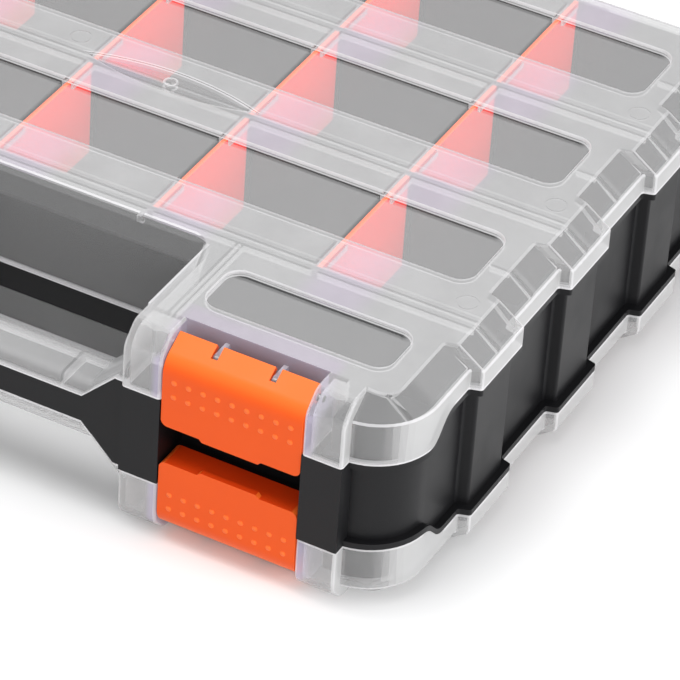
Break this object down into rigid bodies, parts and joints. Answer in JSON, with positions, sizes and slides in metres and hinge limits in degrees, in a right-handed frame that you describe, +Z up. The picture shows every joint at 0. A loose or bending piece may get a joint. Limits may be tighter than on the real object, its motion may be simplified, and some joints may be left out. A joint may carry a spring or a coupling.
{
  "type": "compartment storage box",
  "caption": "Flat carry case with a see-through hinged lid on each face, removable dividers between fixed rows, pivoting front latches and a hand grip.",
  "frame": {"origin": "centre of the bounding box in plan, at the face that the closed box rests on", "axes": "+X to the right along the front, +Y from the handle to the rear hinges, +Z up"},
  "size_m": [0.32, 0.27, 0.08],
  "materials": {
    "clear_plastic": "frosted and see-through, with clear windows",
    "black_plastic": "satin black",
    "latch_orange": "smooth orange",
    "divider_orange": "smooth orange",
    "pin_steel": "plain"
  },
  "bodies": {
    "case": {"case_shell": "black_plastic", "case_floor": "black_plastic", "handle_core": "black_plastic", "latch_mount_left": "black_plastic", "latch_mount_right": "black_plastic", "case_knuckles_top": "black_plastic", "case_knuckles_bottom": "black_plastic", "row_wall_top_1": "black_plastic", "row_wall_top_2": "black_plastic", "row_wall_top_3": "black_plastic", "row_wall_top_4": "black_plastic", "row_wall_bottom_1": "black_plastic", "row_wall_bottom_2": "black_plastic", "row_wall_bottom_3": "black_plastic", "row_wall_bottom_4": "black_plastic", "hinge_pin_top_left": "pin_steel", "hinge_pin_top_right": "pin_steel", "hinge_pin_bottom_left": "pin_steel", "hinge_pin_bottom_right": "pin_steel", "divider_top_1_1": "divider_orange", "divider_top_1_2": "divider_orange", "divider_top_1_3": "divider_orange", "divider_top_1_4": "divider_orange", "divider_top_2_1": "divider_orange", "divider_top_2_2": "divider_orange", "divider_top_2_3": "divider_orange", "divider_top_2_4": "divider_orange", "divider_top_3_1": "divider_orange", "divider_top_3_2": "divider_orange", "divider_top_3_3": "divider_orange", "divider_top_3_4": "divider_orange", "divider_bottom_1_1": "divider_orange", "divider_bottom_1_2": "divider_orange", "divider_bottom_1_3": "divider_orange", "divider_bottom_1_4": "divider_orange", "divider_bottom_2_1": "divider_orange", "divider_bottom_2_2": "divider_orange", "divider_bottom_2_3": "divider_orange", "divider_bottom_2_4": "divider_orange", "divider_bottom_3_1": "divider_orange", "divider_bottom_3_2": "divider_orange", "divider_bottom_3_3": "divider_orange", "divider_bottom_3_4": "divider_orange"},
    "top_lid": {"top_lid": "clear_plastic", "lid_knuckles_top": "clear_plastic", "latch_pin_top_left": "pin_steel", "latch_pin_top_right": "pin_steel"},
    "bottom_lid": {"bottom_lid": "clear_plastic", "lid_knuckles_bottom": "clear_plastic", "latch_pin_bottom_left": "pin_steel", "latch_pin_bottom_right": "pin_steel"},
    "latch_top_left": {"latch_top_left": "latch_orange"},
    "latch_top_right": {"latch_top_right": "latch_orange"},
    "latch_bottom_left": {"latch_bottom_left": "latch_orange"},
    "latch_bottom_right": {"latch_bottom_right": "latch_orange"}
  },
  "joints": [
    {"name": "top_lid_hinge", "type": "hinge", "parent": "case", "child": "top_lid", "pos_m": [0, 0.1318, 0.0655], "axis": [-1, 0, 0], "range_deg": [0, 110]},
    {"name": "latch_top_left_pivot", "type": "hinge", "parent": "top_lid", "child": "latch_top_left", "pos_m": [-0.0969, -0.1258, 0.0739], "axis": [-1, 0, 0], "range_deg": [0, 75]},
    {"name": "latch_top_right_pivot", "type": "hinge", "parent": "top_lid", "child": "latch_top_right", "pos_m": [0.0969, -0.1258, 0.0739], "axis": [-1, 0, 0], "range_deg": [0, 75]},
    {"name": "bottom_lid_hinge", "type": "hinge", "parent": "case", "child": "bottom_lid", "pos_m": [0, 0.1318, 0.0145], "axis": [1, 0, 0], "range_deg": [0, 110]},
    {"name": "latch_bottom_left_pivot", "type": "hinge", "parent": "bottom_lid", "child": "latch_bottom_left", "pos_m": [-0.0969, -0.1258, 0.0061], "axis": [1, 0, 0], "range_deg": [0, 75]},
    {"name": "latch_bottom_right_pivot", "type": "hinge", "parent": "bottom_lid", "child": "latch_bottom_right", "pos_m": [0.0969, -0.1258, 0.0061], "axis": [1, 0, 0], "range_deg": [0, 75]}
  ]
}
